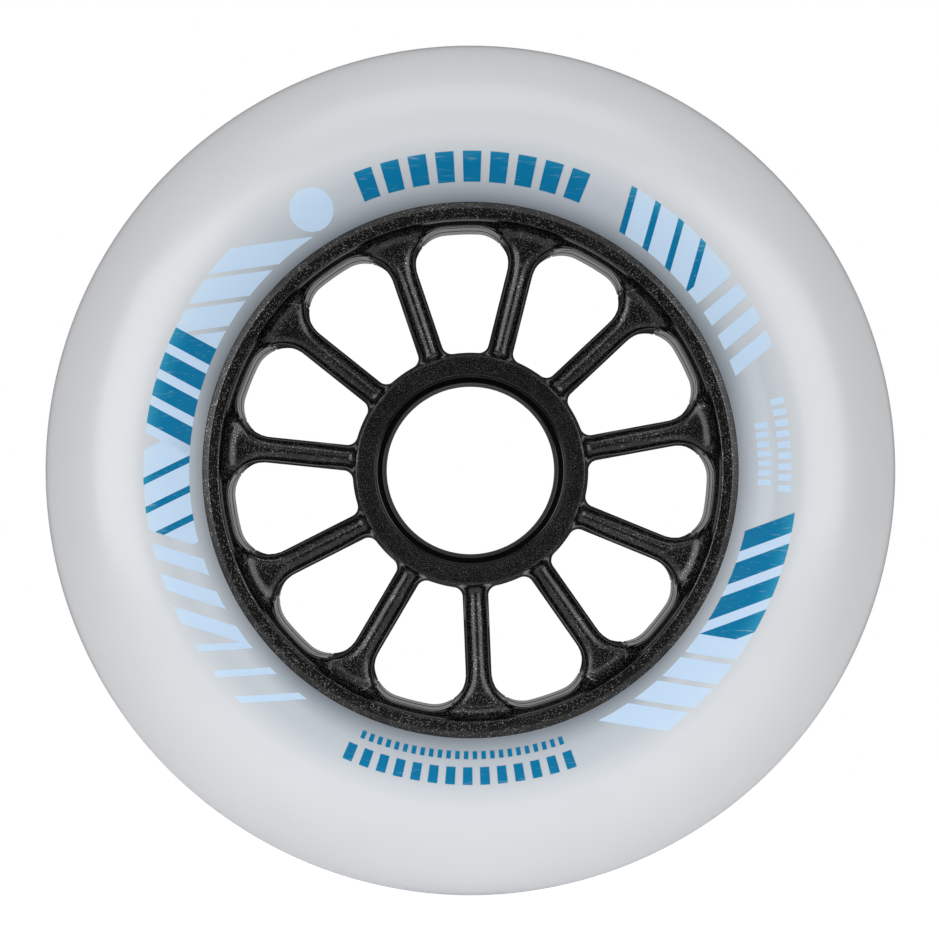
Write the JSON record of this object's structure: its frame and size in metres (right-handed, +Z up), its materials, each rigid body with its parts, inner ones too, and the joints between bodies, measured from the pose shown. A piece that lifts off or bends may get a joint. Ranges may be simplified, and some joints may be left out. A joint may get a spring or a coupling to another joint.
{
  "type": "inline skate wheel",
  "caption": "Inline skate wheel with a white polyurethane tyre cast on a black spoked nylon core; it takes a ball bearing in each side of its bore.",
  "frame": {"origin": "centre of the wheel, on the axle line, midway between the two end faces of the boss", "axes": "+Y along the axle, +Z up, +X to the right for someone who looks along +Y"},
  "size_m": [0.1, 0.024, 0.1],
  "materials": {
    "core": "black glass-filled nylon, moulded, with fine bright specks and a satin sheen on the spokes",
    "tyre": "milky white cast polyurethane, slightly translucent, satin gloss",
    "print_blue": "thin pad-printed ink, petrol blue",
    "print_pale": "thin pad-printed ink, pale blue"
  },
  "bodies": {
    "root": {"core": "core", "tyre": "tyre"}
  },
  "joints": []
}
